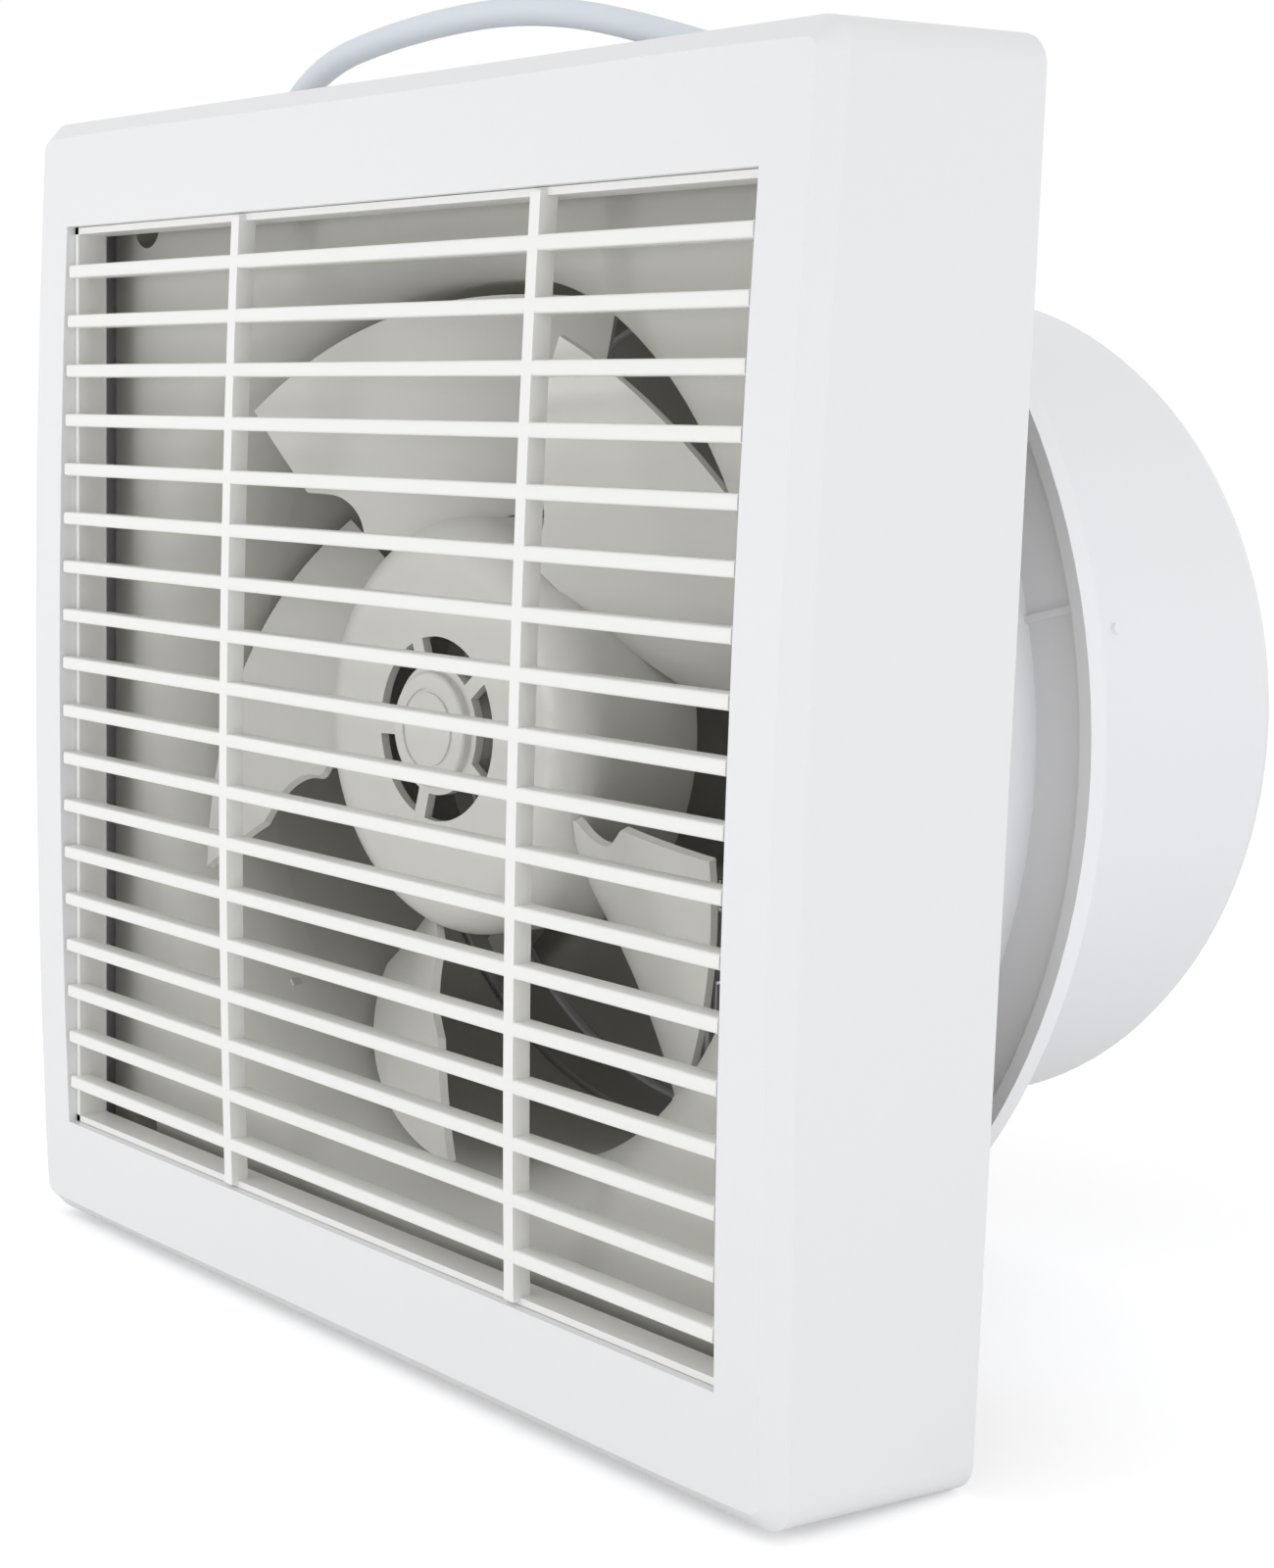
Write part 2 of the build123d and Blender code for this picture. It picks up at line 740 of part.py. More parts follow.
# HUB CAP, NUT AND WASHER ON THE SHAFT'S END
with BuildPart() as hub_cap:
    with BuildSketch(upright(hub_front)):
        Circle(hub_cap_radius)
    extrude(amount=hub_cap_thickness)
    fillet(hub_cap.faces().sort_by(Axis.Y)[0].edges(), hub_cap_thickness * 0.5)
    with BuildSketch(upright(hub_front - hub_cap_thickness + 0.5)):
        Circle(cap_groove + 0.5)
        Circle(cap_groove - 0.5, mode=Mode.SUBTRACT)
    extrude(amount=2, mode=Mode.SUBTRACT)
    with BuildSketch(upright(nut_seat - washer_thickness - nut_height - 0.5)):
        Circle(nut_room - 0.1)
        Circle(nut_room - 1.8, mode=Mode.SUBTRACT)
    extrude(amount=nut_seat - washer_thickness - nut_height - 0.5 - hub_front)
save(hub_cap, "hub_cap")
shaft_washer = ring(nut_seat - washer_thickness, nut_seat, washer_radius, shaft_radius)
save(shaft_washer, "shaft_washer")
with BuildPart() as shaft_nut:
    with BuildSketch(upright(nut_seat - washer_thickness)):
        RegularPolygon(nut_radius, 6)
        Circle(shaft_radius, mode=Mode.SUBTRACT)
    extrude(amount=nut_height)
save(shaft_nut, "shaft_nut")

# BACKDRAFT FLAPS AND THEIR ROD
with BuildPart() as flap_rod:
    with BuildSketch(rod_floor):
        Circle(rod_radius)
    extrude(amount=2 * rod_reach)
save(flap_rod, "flap_rod")


def flap(side):
    # side is 1 for the flap at +X; its two knuckles lie between those of the other flap
    own = [side * knuckle_step * 1.75, -side * knuckle_step * 0.75]
    other = [-height for height in own]
    edge = rod_radius + flap_split
    knuckle_radius = rod_radius + knuckle_play + knuckle_wall
    with BuildPart() as piece:
        with BuildSketch(upright(rod_depth + flap_thickness / 2)):
            Circle(duct_inner - flap_gap)
            with Locations((-side * (duct_radius - edge), 0)):
                Rectangle(2 * duct_radius, 2 * duct_radius, mode=Mode.SUBTRACT)
            for height in other:
                with Locations((side * edge, height)):
                    room = 2 * (knuckle_radius + flap_split - edge)
                    Rectangle(room, knuckle_height + 2 * flap_split, mode=Mode.SUBTRACT)
        extrude(amount=flap_thickness)
        for height in own:
            place = (0, front_y + rod_depth, axis_z + height - knuckle_height / 2)
            with BuildSketch(Plane(place, z_dir=(0, 0, 1))):
                Circle(knuckle_radius)
            extrude(amount=knuckle_height)
            with BuildSketch(Plane(place, z_dir=(0, 0, 1))):
                with Locations((side * (edge + knuckle_radius) / 2, 0)):
                    Rectangle(edge + knuckle_radius, flap_thickness)
            extrude(amount=knuckle_height)
        with BuildSketch(rod_floor):
            Circle(rod_radius + knuckle_play)
        extrude(amount=2 * rod_reach, mode=Mode.SUBTRACT)
    return piece


flap_right = flap(1)
save(flap_right, "flap_right")
flap_left = flap(-1)
save(flap_left, "flap_left")

# TERMINAL BOX COVER, BLOCK, SCREWS AND THE MOTOR'S LEAD
exit_way = Vector(cos(radians(exit_angle)), 0, sin(radians(exit_angle)))
box_middle = Vector(box_x, front_y + cord_depth, axis_z + box_height)
gland_start = box_middle + exit_way * (box_side / 2)
cord_start = gland_start + exit_way * gland_length
box_inside = box_side - 2 * box_wall
block_front = pan_front + pan_wall
with BuildPart() as terminal_cover:
    with BuildSketch(upright(hood_end)):
        with Locations(box_place):
            RectangleRounded(box_side, box_side, box_round)
    extrude(amount=hood_end - panel_depth)
    lip_side = box_inside - 2 * box_gap
    with BuildSketch(upright(panel_depth)):
        with Locations(box_place):
            RectangleRounded(lip_side, lip_side, box_round - box_wall)
    extrude(amount=hood_lip)
    with BuildSketch(upright(hood_end - box_wall)):
        with Locations(box_place):
            hollow = lip_side - 2 * box_wall
            RectangleRounded(hollow, hollow, box_round - box_wall)
    extrude(amount=hood_end - panel_depth + hood_lip, mode=Mode.SUBTRACT)
    box_reach = hypot(box_x, box_height)
    with BuildSketch(outward(box_bearing, lead_depth, box_reach - box_side)):
        Circle(lead_radius + lead_play)
    extrude(amount=box_side, mode=Mode.SUBTRACT)
save(terminal_cover, "terminal_cover")
with BuildPart() as terminal_block:
    with BuildSketch(upright(block_front + block_depth)):
        with Locations(box_place):
            Rectangle(block_side, block_side)
    extrude(amount=block_depth)
save(terminal_block, "terminal_block")
with BuildPart() as terminal_screws:
    with BuildSketch(upright(block_front + block_depth + block_screw_height)):
        with Locations(box_place):
            with Locations((-block_screw_pitch / 2, -4), (block_screw_pitch / 2, -4)):
                Circle(block_screw_radius)
    extrude(amount=block_screw_height)
save(terminal_screws, "terminal_screws")
bearing_way = Vector(cos(radians(box_bearing)), 0, sin(radians(box_bearing)))
lead_line = Vector(0, front_y + lead_depth, axis_z)
lead_turn = lead_line + bearing_way * (box_reach - 1)
with BuildPart() as motor_lead:
    with BuildLine() as lead_path:
        FilletPolyline(
            lead_line + bearing_way * (motor_radius - 1.2),
            lead_turn,
            lead_turn - Vector(0, lead_depth - block_front - block_depth, 0),
            radius=lead_bend,
        )
    with BuildSketch(outward(box_bearing, lead_depth, motor_radius - 1.2)):
        Circle(lead_radius)
    sweep(path=lead_path.line)
save(motor_lead, "motor_lead")

# CORD GLAND
with BuildPart() as cord_gland:
    with BuildSketch(Plane(gland_start, x_dir=(0, 1, 0), z_dir=exit_way)):
        Circle(gland_root)
    with BuildSketch(Plane(cord_start, x_dir=(0, 1, 0), z_dir=exit_way)):
        Circle(gland_tip)
    loft()
save(cord_gland, "cord_gland")

# POWER CORD FROM THE GLAND DOWN TO THE FLOOR BEHIND THE FAN
floor_height = cord_radius + tie_band + 2 * floor_gap
coil_left = -127.0
coil_depth = 145.0
cord_second = cord_start + exit_way * cord_first
cord_points = [
    (cord_start.X, cord_depth, cord_start.Z),
    (cord_second.X, cord_depth, cord_second.Z),
    (38.0, cord_depth, 299.0),
    (-15.0, cord_depth, 312.0),
    (-66.0, cord_depth, 312.0),
    (-114.0, cord_depth, 305.0),
    (-138.0, cord_depth, 273.0),
    (-138.0, cord_depth + 1, 213.0),
    (-138.0, cord_depth + 3.5, 153.0),
    (-138.0, 70.0, 95.0),
    (-136.0, 84.0, 50.0),
    (-131.0, 108.0, 17.0),
    (coil_left, 127.0, floor_height),
    (coil_left, coil_depth, floor_height),
]
route = [Vector(x, front_y + depth, height) for x, depth, height in cord_points]


def corner_radius(before, corner, after):
    # the arc that uses 0.45 of the shorter run at a corner
    first = corner - before
    second = after - corner
    half_turn = radians(first.get_angle(second)) / 2
    return 0.45 * min(first.length, second.length) / tan(half_turn)


cord_radii = [corner_radius(route[k - 1], route[k], route[k + 1]) for k in range(1, len(route) - 1)]
with BuildPart() as power_cord:
    with BuildLine() as cord_path:
        FilletPolyline(*route, radius=cord_radii)
    with BuildSketch(Plane(route[0], x_dir=(0, 1, 0), z_dir=route[1] - route[0])):
        Circle(cord_radius)
    sweep(path=cord_path.line)
save(power_cord, "power_cord")
print("cord radii", [round(radius, 1) for radius in cord_radii])
tube_length = cord_path.wire().length
print("cord volume over section times length", power_cord.part.volume / (pi * cord_radius**2 * tube_length))

# COIL: IN ON THE FLOOR LAYER, UP IN THE INNERMOST HALF TURN, OUT ON THE SECOND LAYER
coil_step = (2 * cord_radius + coil_gap) / 2
coil_y = front_y + coil_depth
layer_height = floor_height + 2 * cord_radius + coil_gap
with BuildPart() as cord_coil:
    with BuildLine() as coil_path:
        here = coil_left
        side = 1
        for k in range(coil_half_turns - 1):
            radius = coil_outer - k * coil_step
            there = here + side * 2 * radius
            middle = (here + there) / 2
            ThreePointArc(
                (here, coil_y, floor_height),
                (middle, coil_y + side * radius, floor_height),
                (there, coil_y, floor_height),
            )
            here = there
            side = -side
        inner = coil_outer - (coil_half_turns - 1) * coil_step
        climb = []
        for k in range(9):
            turn = pi * k / 8
            rise = (1 - cos(turn)) / 2
            spot_x = here + side * inner * (1 - cos(turn))
            spot_height = floor_height + (layer_height - floor_height) * rise
            climb.append((spot_x, coil_y + side * inner * sin(turn), spot_height))
        Spline(*climb, tangents=[(0, side, 0), (0, -side, 0)])
        here = here + side * 2 * inner
        side = -side
        for k in range(2):
            radius = inner + (k + 1) * coil_step
            there = here + side * 2 * radius
            middle = (here + there) / 2
            ThreePointArc(
                (here, coil_y, layer_height),
                (middle, coil_y + side * radius, layer_height),
                (there, coil_y, layer_height),
            )
            here = there
            side = -side
        exit_x = here + coil_exit_radius
        exit_y = coil_y - coil_exit_radius
        bend = coil_exit_radius * (1 - cos(radians(45)))
        ThreePointArc(
            (here, coil_y, layer_height),
            (here + bend, exit_y + bend, layer_height),
            (exit_x, exit_y, layer_height),
        )
        plug_x = exit_x + 2.5 * cord_radius
        Line((exit_x, exit_y, layer_height), (plug_x, exit_y, layer_height))
    with BuildSketch(Plane((coil_left, coil_y, floor_height), x_dir=(1, 0, 0), z_dir=(0, 1, 0))):
        Circle(cord_radius)
    sweep(path=coil_path.line)
save(cord_coil, "cord_coil")
coil_length = coil_path.wire().length
print("coil volume over section times length", cord_coil.part.volume / (pi * cord_radius**2 * coil_length))
print("lead length", tube_length + coil_length)

# TIE ROUND THE COIL
coil_centre_x = coil_left + coil_outer
tie_inner = coil_y + inner - cord_radius - tie_gap
tie_outer = coil_y + coil_outer + cord_radius + tie_gap
tie_low = floor_gap + tie_band
tie_high = layer_height + cord_radius + tie_gap
with BuildPart() as cord_tie:
    with BuildSketch(Plane((coil_centre_x, 0, 0), x_dir=(0, 1, 0), z_dir=(1, 0, 0))):
        with Locations(((tie_inner + tie_outer) / 2, (tie_low + tie_high) / 2)):
            Rectangle(tie_outer - tie_inner + 2 * tie_band, tie_high - tie_low + 2 * tie_band)
            Rectangle(tie_outer - tie_inner, tie_high - tie_low, mode=Mode.SUBTRACT)
    extrude(amount=tie_band_width / 2, both=True)
save(cord_tie, "cord_tie")

# PLUG WITH TWO ROUND PINS
plug_height = 2 * (layer_height - floor_gap)
with BuildPart() as plug_body:
    with BuildSketch(Plane((plug_x, exit_y, layer_height), x_dir=(0, 1, 0), z_dir=(1, 0, 0))):
        Circle(gland_root)
    with BuildSketch(Plane((plug_x + 8, exit_y, layer_height), x_dir=(0, 1, 0), z_dir=(1, 0, 0))):
        Circle(plug_height / 2 - 1)
    loft()
    with BuildSketch(Plane((plug_x + 7, exit_y, layer_height), x_dir=(0, 1, 0), z_dir=(1, 0, 0))):
        RectangleRounded(plug_width, plug_height, plug_height / 2 - 1)
    extrude(amount=plug_length - 7)
save(plug_body, "plug_body")
with BuildPart() as plug_pins:
    pin_plane = Plane((plug_x + plug_length, exit_y, layer_height), x_dir=(0, 1, 0), z_dir=(1, 0, 0))
    with BuildSketch(pin_plane):
        with Locations((-plug_pin_pitch / 2, 0), (plug_pin_pitch / 2, 0)):
            Circle(plug_pin_radius)
    extrude(amount=plug_pin_length)
    fillet(plug_pins.faces().sort_by(Axis.X)[-2:].edges(), plug_pin_radius * 0.6)
save(plug_pins, "plug_pins")

# SEAL BETWEEN THE NECK AND THE FLANGE, AND THE COVER'S SPRING CLIPS
neck_seal = ring(neck_end, plate_front, neck_radius, mouth_radius - pan_wall)
save(neck_seal, "neck_seal")
with BuildPart() as cover_clips:
    wall_x = pan_side / 2
    clip_back = front_y + clip_front + clip_width
    for side in (-1, 1):
        for height in (-clip_spread, clip_spread):
            with BuildSketch(Plane((0, 0, axis_z + height - clip_height / 2), z_dir=(0, 0, 1))):
                with BuildLine():
                    Polyline(
                        (side * wall_x, front_y + clip_front),
                        (side * (wall_x + clip_thickness), front_y + clip_front),
                        (side * (wall_x + clip_thickness), clip_back - clip_thickness),
                        (side * (wall_x + clip_reach), clip_back - clip_thickness),
                        (side * (wall_x + clip_reach), clip_back),
                        (side * wall_x, clip_back),
                        close=True,
                    )
                make_face()
            extrude(amount=clip_height)
save(cover_clips, "cover_clips")
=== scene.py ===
import math
import bmesh
import bpy
from mathutils import Matrix, Vector


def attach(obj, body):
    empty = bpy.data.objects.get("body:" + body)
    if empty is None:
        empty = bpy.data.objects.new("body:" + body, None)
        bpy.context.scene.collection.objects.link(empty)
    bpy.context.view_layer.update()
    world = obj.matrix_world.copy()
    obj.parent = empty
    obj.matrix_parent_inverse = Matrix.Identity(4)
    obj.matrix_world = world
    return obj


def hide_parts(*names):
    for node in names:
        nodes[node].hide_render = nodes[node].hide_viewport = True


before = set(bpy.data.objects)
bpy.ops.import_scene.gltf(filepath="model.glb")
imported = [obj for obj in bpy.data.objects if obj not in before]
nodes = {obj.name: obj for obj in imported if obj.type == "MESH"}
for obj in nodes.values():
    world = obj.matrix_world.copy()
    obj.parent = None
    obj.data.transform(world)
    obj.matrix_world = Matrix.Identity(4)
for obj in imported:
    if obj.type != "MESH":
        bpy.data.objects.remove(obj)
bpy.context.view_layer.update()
scene = bpy.context.scene
scene.view_settings.view_transform = "Standard"

# ---- camera, placed from the photograph's own perspective
shot = {
    "place": (0.4800, -0.4376, 0.2101),
    "right": (0.64875, 0.76049, 0.02803),
    "down": (0.13443, -0.07827, -0.98783),
    "forward": (-0.74904, 0.64462, -0.15301),
    "lens": 60.42,
    "shift": (0.0297, 0.0449),
}
cameraData = bpy.data.cameras.new("photoCamera")
cameraData.sensor_width = 36.0
cameraData.lens = shot["lens"]
cameraData.shift_x, cameraData.shift_y = shot["shift"]
cameraData.clip_start = 0.01
cameraData.dof.use_dof = False
camera = bpy.data.objects.new("photoCamera", cameraData)
turn = Matrix((shot["right"], -Vector(shot["down"]), -Vector(shot["forward"]))).transposed()
camera.matrix_world = Matrix.Translation(shot["place"]) @ turn.to_4x4()
scene.collection.objects.link(camera)
scene.camera = camera
print("camera placed")

# ---- sizes shared by the pieces, in metres and in the row frame
fan = {"frontY": -0.09555, "axisZ": 0.145, "half": 0.145, "crown": 0.0039}


def atDepth(depth):
    return fan["frontY"] + depth


def crownAt(height):
    # how far the bowed face stands forward of its top and bottom edges
    return -fan["crown"] * (1.0 - (height / fan["half"]) ** 2)


# ---- the supply cord: one spline from the gland to the plug, its rest in a small coil
cordLook = {
    "radius": 0.00325, "gap": 0.0006, "exitAngle": 124.2,
    "gland": (0.113, 0.0625, 0.237), "glandReach": 0.032, "firstReach": 0.0246,
}
coil = {
    "x": -0.127, "depth": 0.145, "low": 0.00435, "outer": 0.043,
    "perHalf": 8, "flatTurns": 5, "upperTurns": 2, "exitRadius": 0.025, "tail": 2.5,
    "exitSteps": ((0.0, 0.0), (0.0, 0.42), (0.29, 0.71), (0.58, 1.0), (1.0, 1.0)),
}
# x, depth and height in millimetres, from above the gland down to the coil
cordRoute = [
    (38.0, 62.5, 299.0), (-15.0, 62.5, 312.0),
    (-66.0, 62.5, 312.0), (-114.0, 62.5, 305.0), (-138.0, 62.5, 273.0), (-138.0, 63.5, 213.0),
    (-138.0, 66.0, 153.0), (-138.0, 70.0, 95.0), (-136.0, 84.0, 50.0), (-131.0, 108.0, 17.0),
    (-127.0, 127.0, 4.35), (-127.0, 145.0, 4.35),
]
exitAngle = math.radians(cordLook["exitAngle"])
exitWay = Vector((math.cos(exitAngle), 0.0, math.sin(exitAngle)))
glandX, glandDepth, glandZ = cordLook["gland"]
glandTip = Vector((glandX, atDepth(glandDepth), glandZ)) + cordLook["glandReach"] * exitWay
firstTurn = glandTip + cordLook["firstReach"] * exitWay


def cordPoints():
    points = [glandTip, firstTurn]
    points += [Vector((x / 1000, atDepth(d / 1000), z / 1000)) for x, d, z in cordRoute]
    pitch = 2 * cordLook["radius"] + cordLook["gap"]
    step = pitch / 2
    low = coil["low"]
    high = low + pitch
    here = coil["x"]
    side = 1
    centreY = atDepth(coil["depth"])
    radii = [coil["outer"] - k * step for k in range(coil["flatTurns"])]
    radii += [radii[-1] + (k + 1) * step for k in range(coil["upperTurns"])]
    climbing = coil["flatTurns"] - 1  # this half turn climbs onto the others
    for number, radius in enumerate(radii):
        swell = radius / math.cos(math.pi / coil["perHalf"] / 2)
        for k in range(coil["perHalf"]):
            angle = math.pi * (k + 0.5) / coil["perHalf"]
            height = low if number < climbing else high
            if number == climbing:
                height = low + (high - low) * (1 - math.cos(angle)) / 2
            middle = here + side * radius
            points.append(Vector((
                middle - side * swell * math.cos(angle), centreY + side * swell * math.sin(angle), height,
            )))
        here += side * 2 * radius
        side = -side
    bend = coil["exitRadius"]
    for across, along in coil["exitSteps"]:
        points.append(Vector((here + bend * across, centreY - bend * along, high)))
    points.append(Vector((here + bend + coil["tail"] * cordLook["radius"], centreY - bend, high)))
    return points


def splineObject(name, points, radius):
    curve = bpy.data.curves.new(name, "CURVE")
    curve.dimensions = "3D"
    curve.bevel_depth = 1.0  # each point carries the tube's radius, so the curve's box fits it
    curve.bevel_resolution = 5
    curve.use_fill_caps = True
    curve.resolution_u = 8
    spline = curve.splines.new("NURBS")
    spline.points.add(len(points) - 1)
    for slot, point in zip(spline.points, points):
        slot.co = (*point, 1.0)
        slot.radius = radius
    spline.order_u = 3
    spline.use_endpoint_u = True
    made = bpy.data.objects.new(name, curve)
    scene.collection.objects.link(made)
    return made


supplyCord = splineObject("supplyCord", cordPoints(), cordLook["radius"])
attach(supplyCord, "fan_body")
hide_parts("power_cord", "cord_coil")
print("cord laid")

# ---- materials


def moulding():
    # slow tone drift, faint flow marks and a fine orange-peel skin, as moulded plastic has
    group = bpy.data.node_groups.new("moulding", "ShaderNodeTree")
    face = group.interface
    for name, kind, value in (
        ("Colour", "NodeSocketColor", (0.8, 0.8, 0.8, 1.0)),
        ("Drift", "NodeSocketFloat", 0.03),
        ("Roughness", "NodeSocketFloat", 0.35),
        ("Scuff", "NodeSocketFloat", 0.08),
        ("Grain", "NodeSocketFloat", 900.0),
    ):
        face.new_socket(name, in_out="INPUT", socket_type=kind).default_value = value
    face.new_socket("Colour", in_out="OUTPUT", socket_type="NodeSocketColor")
    face.new_socket("Roughness", in_out="OUTPUT", socket_type="NodeSocketFloat")
    face.new_socket("Height", in_out="OUTPUT", socket_type="NodeSocketFloat")
    new = group.nodes.new
    link = group.links.new
    entry = new("NodeGroupInput")
    out = new("NodeGroupOutput")
    spot = new("ShaderNodeTexCoord")
    slow = new("ShaderNodeTexNoise")
    slow.inputs["Scale"].default_value = 9.0
    slow.inputs["Detail"].default_value = 3.0
    link(spot.outputs["Object"], slow.inputs["Vector"])
    fine = new("ShaderNodeTexNoise")
    fine.inputs["Detail"].default_value = 2.0
    link(spot.outputs["Object"], fine.inputs["Vector"])
    link(entry.outputs["Grain"], fine.inputs["Scale"])
    wear = new("ShaderNodeTexNoise")
    wear.inputs["Scale"].default_value = 45.0
    wear.inputs["Detail"].default_value = 6.0
    link(spot.outputs["Object"], wear.inputs["Vector"])
    swing = new("ShaderNodeMath")
    swing.operation = "SUBTRACT"
    swing.inputs[1].default_value = 0.5
    link(slow.outputs["Fac"], swing.inputs[0])
    size = new("ShaderNodeMath")
    size.operation = "MULTIPLY"
    link(swing.outputs[0], size.inputs[0])
    link(entry.outputs["Drift"], size.inputs[1])
    value = new("ShaderNodeMath")
    value.operation = "ADD"
    value.inputs[1].default_value = 1.0
    link(size.outputs[0], value.inputs[0])
    tone = new("ShaderNodeHueSaturation")
    link(value.outputs[0], tone.inputs["Value"])
    link(entry.outputs["Colour"], tone.inputs["Color"])
    link(tone.outputs["Color"], out.inputs["Colour"])
    rub = new("ShaderNodeMath")
    rub.operation = "MULTIPLY_ADD"
    link(wear.outputs["Fac"], rub.inputs[0])
    link(entry.outputs["Scuff"], rub.inputs[1])
    link(entry.outputs["Roughness"], rub.inputs[2])
    link(rub.outputs[0], out.inputs["Roughness"])
    link(fine.outputs["Fac"], out.inputs["Height"])
    return group


mouldingGroup = moulding()


def finish(name, colour, roughness, metal=0.0, drift=0.03, scuff=0.08, grain=900.0, bump=0.04, coat=0.0):
    material = bpy.data.materials.new(name)
    material.use_nodes = True
    tree = material.node_tree
    shader = tree.nodes["Principled BSDF"]
    skin = tree.nodes.new("ShaderNodeGroup")
    skin.node_tree = mouldingGroup
    skin.inputs["Colour"].default_value = (*colour, 1.0)
    skin.inputs["Drift"].default_value = drift
    skin.inputs["Roughness"].default_value = roughness
    skin.inputs["Scuff"].default_value = scuff
    skin.inputs["Grain"].default_value = grain
    rise = tree.nodes.new("ShaderNodeBump")
    rise.inputs["Strength"].default_value = bump
    rise.inputs["Distance"].default_value = 0.0002
    tree.links.new(skin.outputs["Colour"], shader.inputs["Base Color"])
    tree.links.new(skin.outputs["Roughness"], shader.inputs["Roughness"])
    tree.links.new(skin.outputs["Height"], rise.inputs["Height"])
    tree.links.new(rise.outputs["Normal"], shader.inputs["Normal"])
    shader.inputs["Metallic"].default_value = metal
    shader.inputs["Coat Weight"].default_value = coat
    return material


paints = {
    "coverShell": finish("coverShell", (0.83, 0.835, 0.845), 0.34, drift=0.015, coat=0.05),
    "louvres": finish("louvres", (0.88, 0.88, 0.86), 0.36, drift=0.015),
    "basePlate": finish("basePlate", (0.62, 0.605, 0.565), 0.5, drift=0.05),
    "ductShell": finish("ductShell", (0.86, 0.865, 0.89), 0.3, drift=0.02, coat=0.05),
    "blades": finish("blades", (0.78, 0.77, 0.74), 0.28, drift=0.05, coat=0.12),
    "hub": finish("hub", (0.8, 0.79, 0.77), 0.34, drift=0.03),
    "flapSheet": finish("flapSheet", (0.46, 0.45, 0.43), 0.5),
    "spider": finish("spider", (0.5, 0.49, 0.47), 0.5),
    "motorPaint": finish("motorPaint", (0.33, 0.33, 0.32), 0.42, grain=1500.0, bump=0.1),
    "zinc": finish("zinc", (0.62, 0.62, 0.62), 0.32, metal=1.0, drift=0.06, scuff=0.2),
    "copperWire": finish("copperWire", (0.62, 0.26, 0.1), 0.4, metal=0.8, drift=0.1),
    "bushRubber": finish("bushRubber", (0.05, 0.05, 0.05), 0.75, drift=0.1),
    "sheath": finish("sheath", (0.74, 0.79, 0.85), 0.42, drift=0.02, grain=2500.0, bump=0.06),
    "plugShell": finish("plugShell", (0.74, 0.78, 0.83), 0.4),
    "nickel": finish("nickel", (0.75, 0.74, 0.7), 0.18, metal=1.0, scuff=0.1),
}
nodePaint = {
    "front_cover": "coverShell", "louvre_grille": "louvres", "base_frame": "basePlate",
    "rear_duct": "ductShell", "impeller": "blades", "hub_cap": "hub",
    "flap_left": "flapSheet", "flap_right": "flapSheet", "flap_rod": "zinc",
    "motor_spider": "spider", "motor_front_shell": "motorPaint", "motor_rear_shell": "motorPaint",
    "stator_core": "zinc", "windings": "copperWire", "front_bearing": "zinc", "rear_bearing": "zinc",
    "shaft": "zinc", "shaft_spacers": "zinc", "shaft_washer": "zinc", "shaft_nut": "zinc",
    "rotor_core": "zinc", "rubber_bushes": "bushRubber", "tie_bolts": "zinc", "tie_nuts": "zinc",
    "clamp_screws": "zinc", "cover_clips": "zinc", "neck_seal": "bushRubber",
    "terminal_cover": "basePlate", "terminal_block": "plugShell", "terminal_screws": "nickel",
    "motor_lead": "sheath", "cord_gland": "sheath", "cord_tie": "plugShell",
    "plug_body": "plugShell", "plug_pins": "nickel",
}
for nodeName, paint in nodePaint.items():
    mesh = nodes[nodeName].data
    mesh.materials.clear()
    mesh.materials.append(paints[paint])
supplyCord.data.materials.append(paints["sheath"])
print("materials made")


# ---- mesh helpers
def meshObject(name, shape, paint, body):
    bmesh.ops.remove_doubles(shape, verts=shape.verts, dist=1e-6)
    bmesh.ops.recalc_face_normals(shape, faces=shape.faces)
    mesh = bpy.data.meshes.new(name)
    shape.to_mesh(mesh)
    shape.free()
    mesh.shade_smooth()
    mesh.set_sharp_from_angle(angle=math.radians(40.0))
    mesh.materials.append(paints[paint])
    made = bpy.data.objects.new(name, mesh)
    scene.collection.objects.link(made)
    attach(made, body)
    return made


def addBlock(shape, centre, size, soften=0.0):
    # a box, its edges along X rounded where soften is given
    made = bmesh.ops.create_cube(shape, size=1.0)["verts"]
    bmesh.ops.scale(shape, verts=made, vec=size)
    bmesh.ops.translate(shape, verts=made, vec=centre)
    if soften:
        edges = {edge for vert in made for edge in vert.link_edges}
        lengthwise = [edge for edge in edges if abs((edge.verts[0].co - edge.verts[1].co).x) > 1e-5]
        bmesh.ops.bevel(
            shape, geom=lengthwise, offset=soften, affect="EDGES", segments=3, profile=0.5, material=-1
        )


# ---- louvre grille: slats bowed with the face, two bars and a thin rim
grille = {
    "width": 0.2507, "height": 0.2323, "rim": 0.0016, "rimDepth": 0.008, "slats": 18, "pitch": 0.01238,
    "slatHigh": 0.0032, "slatDeep": 0.0056, "recess": 0.0005, "barWide": 0.0032, "barDeep": 0.0046,
    "bars": (-0.0485, 0.061), "barPieces": 16, "round": 0.0006, "flange": 0.005, "flangeThick": 0.0016,
    "rimRecess": 0.0009, "flangeFront": 0.00315,
}


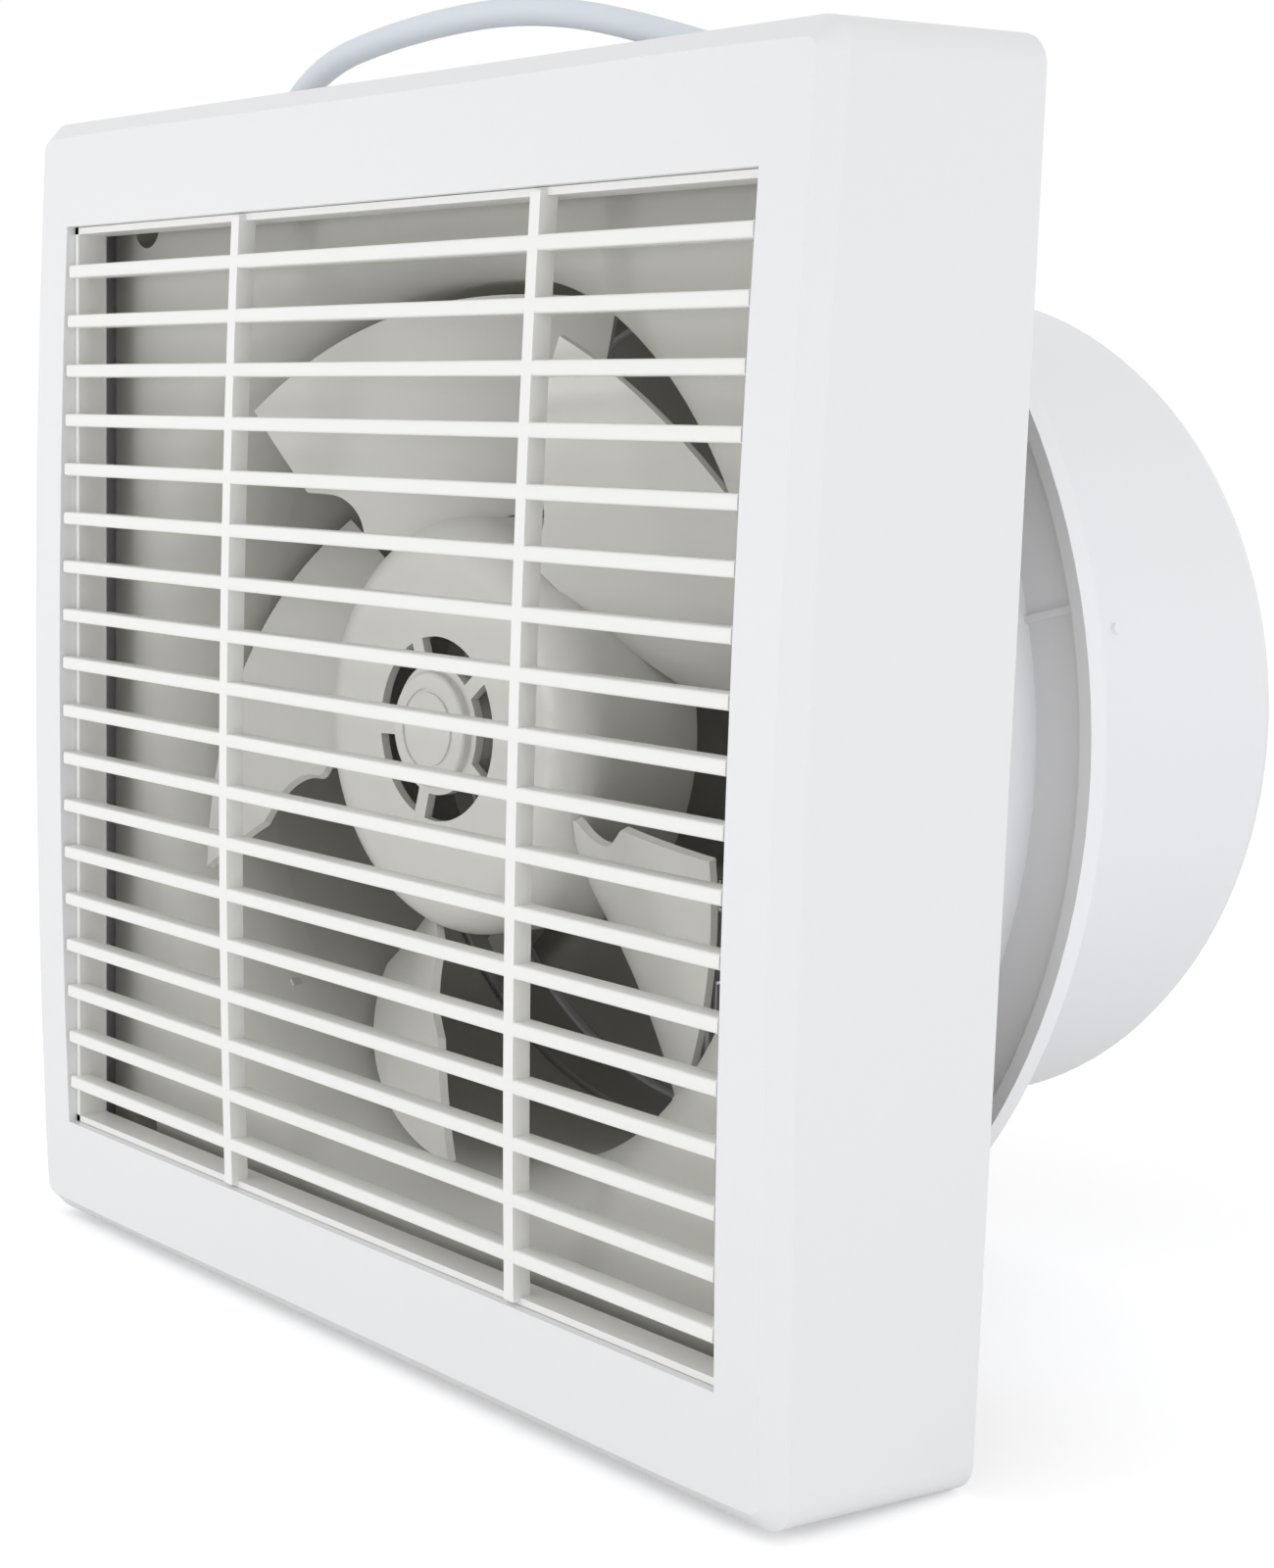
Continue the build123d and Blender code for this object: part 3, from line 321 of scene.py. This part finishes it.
def louvreGrille():
    shape = bmesh.new()
    span = grille["width"] - grille["rim"]
    for k in range(grille["slats"]):
        height = (k - (grille["slats"] - 1) / 2) * grille["pitch"]
        front = grille["recess"] + crownAt(height)
        middle = atDepth(front + grille["slatDeep"] / 2)
        centre = (0.0, middle, fan["axisZ"] + height)
        addBlock(shape, centre, (span, grille["slatDeep"], grille["slatHigh"]), grille["round"])
    reach = grille["height"] - grille["rim"]
    pieces = grille["barPieces"]
    barMiddle = atDepth(grille["recess"] + grille["barDeep"] / 2)
    for x in grille["bars"]:
        made = bmesh.ops.create_cube(shape, size=1.0)["verts"]
        bmesh.ops.scale(shape, verts=made, vec=(grille["barWide"], grille["barDeep"], reach))
        bmesh.ops.translate(shape, verts=made, vec=(x, barMiddle, fan["axisZ"]))
        for cut in range(1, pieces):
            faces = {face for vert in made for face in vert.link_faces}
            edges = {edge for vert in made for edge in vert.link_edges}
            level = fan["axisZ"] - reach / 2 + reach * cut / pieces
            cutMade = bmesh.ops.bisect_plane(
                shape, geom=list(faces) + list(edges) + list(made), plane_co=(0, 0, level), plane_no=(0, 0, 1)
            )
            cutVerts = {part for part in cutMade["geom_cut"] if isinstance(part, bmesh.types.BMVert)}
            made = list(set(made) | cutVerts)
        for vert in made:
            vert.co.y += crownAt(vert.co.z - fan["axisZ"])
    rimMiddle = atDepth(grille["rimRecess"] + grille["rimDepth"] / 2)
    for side in (-1, 1):
        x = side * (grille["width"] - grille["rim"]) / 2
        addBlock(shape, (x, rimMiddle, fan["axisZ"]), (grille["rim"], grille["rimDepth"], grille["height"]))
        z = fan["axisZ"] + side * (grille["height"] - grille["rim"]) / 2
        addBlock(shape, (0.0, rimMiddle, z), (grille["width"], grille["rimDepth"], grille["rim"]))
    backMiddle = atDepth(grille["flangeFront"] + grille["flangeThick"] / 2)
    for side in (-1, 1):
        x = side * (grille["width"] + grille["flange"]) / 2
        upright = (grille["flange"], grille["flangeThick"], grille["height"])
        addBlock(shape, (x, backMiddle, fan["axisZ"]), upright)
        z = fan["axisZ"] + side * (grille["height"] + grille["flange"]) / 2
        wide = grille["width"] + 2 * grille["flange"]
        addBlock(shape, (0.0, backMiddle, z), (wide, grille["flangeThick"], grille["flange"]))
    made = meshObject("louvreGrille", shape, "louvres", "fan_body")
    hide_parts("louvre_grille")


louvreGrille()
print("grille built")

# ---- the small moulding nub on the duct
nub = {"depth": 0.137, "angle": 15.0, "radius": 0.0016, "taper": 0.7, "rise": 0.0008, "duct": 0.107}


def ductNub():
    shape = bmesh.new()
    made = bmesh.ops.create_cone(
        shape, cap_ends=True, segments=24, radius1=nub["radius"], radius2=nub["radius"] * nub["taper"],
        depth=nub["rise"] * 2,
    )["verts"]
    angle = math.radians(nub["angle"])
    lean = Matrix.Rotation(math.radians(90 - nub["angle"]), 3, "Y")
    bmesh.ops.rotate(shape, verts=made, cent=(0, 0, 0), matrix=lean)
    reach = Vector((math.cos(angle), 0.0, math.sin(angle)))
    place = reach * nub["duct"] + Vector((0.0, atDepth(nub["depth"]), fan["axisZ"]))
    bmesh.ops.translate(shape, verts=made, vec=place)
    meshObject("ductNub", shape, "ductShell", "fan_body")


ductNub()
print("nub added")

# ---- lamps, floor and backdrop
light = {
    "world": 0.80, "floorLift": 0.30, "floorHalf": 6.0, "floorTone": (0.95, 0.95, 0.955, 1.0),
    "lowFront": {"place": (-0.12, -0.72, 0.10), "aim": (0.0, -0.1, 0.08), "size": 0.35, "power": 1.15},
    "lowSide": {"place": (0.75, -0.05, 0.09), "aim": (0.1, 0.02, 0.08), "size": 0.4, "power": 0.9},
}


def whiteStage():
    world = bpy.data.worlds.new("softRoom")
    world.use_nodes = True
    scene.world = world
    tree = world.node_tree
    back = tree.nodes["Background"]
    back.inputs["Color"].default_value = (1.0, 1.0, 1.0, 1.0)
    back.inputs["Strength"].default_value = light["world"]
    seen = tree.nodes.new("ShaderNodeBackground")
    seen.inputs["Color"].default_value = (1.0, 1.0, 1.0, 1.0)
    seen.inputs["Strength"].default_value = 1.0
    path = tree.nodes.new("ShaderNodeLightPath")
    either = tree.nodes.new("ShaderNodeMath")
    either.operation = "MAXIMUM"
    tree.links.new(path.outputs["Is Camera Ray"], either.inputs[0])
    tree.links.new(path.outputs["Is Glossy Ray"], either.inputs[1])
    mix = tree.nodes.new("ShaderNodeMixShader")
    tree.links.new(either.outputs[0], mix.inputs["Fac"])
    tree.links.new(back.outputs[0], mix.inputs[1])
    tree.links.new(seen.outputs[0], mix.inputs[2])
    tree.links.new(mix.outputs[0], tree.nodes["World Output"].inputs["Surface"])
    shape = bmesh.new()
    bmesh.ops.create_grid(shape, x_segments=1, y_segments=1, size=light["floorHalf"])
    mesh = bpy.data.meshes.new("floor")
    shape.to_mesh(mesh)
    shape.free()
    ground = bpy.data.objects.new("floor", mesh)
    scene.collection.objects.link(ground)
    material = bpy.data.materials.new("floorWhite")
    material.use_nodes = True
    tree = material.node_tree
    shader = tree.nodes["Principled BSDF"]
    shader.inputs["Base Color"].default_value = light["floorTone"]
    shader.inputs["Roughness"].default_value = 0.9
    shader.inputs["Specular IOR Level"].default_value = 0.0
    glow = tree.nodes.new("ShaderNodeLightPath")
    lift = tree.nodes.new("ShaderNodeMath")
    lift.operation = "MULTIPLY"
    lift.inputs[1].default_value = light["floorLift"]
    tree.links.new(glow.outputs["Is Camera Ray"], lift.inputs[0])
    shader.inputs["Emission Color"].default_value = (1.0, 1.0, 1.0, 1.0)
    tree.links.new(lift.outputs[0], shader.inputs["Emission Strength"])
    mesh.materials.append(material)


def lamp(name, place, aim, size, power):
    data = bpy.data.lights.new(name, "AREA")
    data.shape = "SQUARE"
    data.size = size
    data.energy = power
    made = bpy.data.objects.new(name, data)
    made.location = place
    way = Vector(aim) - Vector(place)
    made.rotation_euler = way.to_track_quat("-Z", "Y").to_euler()
    scene.collection.objects.link(made)


whiteStage()
for lampName in ("lowFront", "lowSide"):
    lamp(lampName, **light[lampName])
print("stage lit")
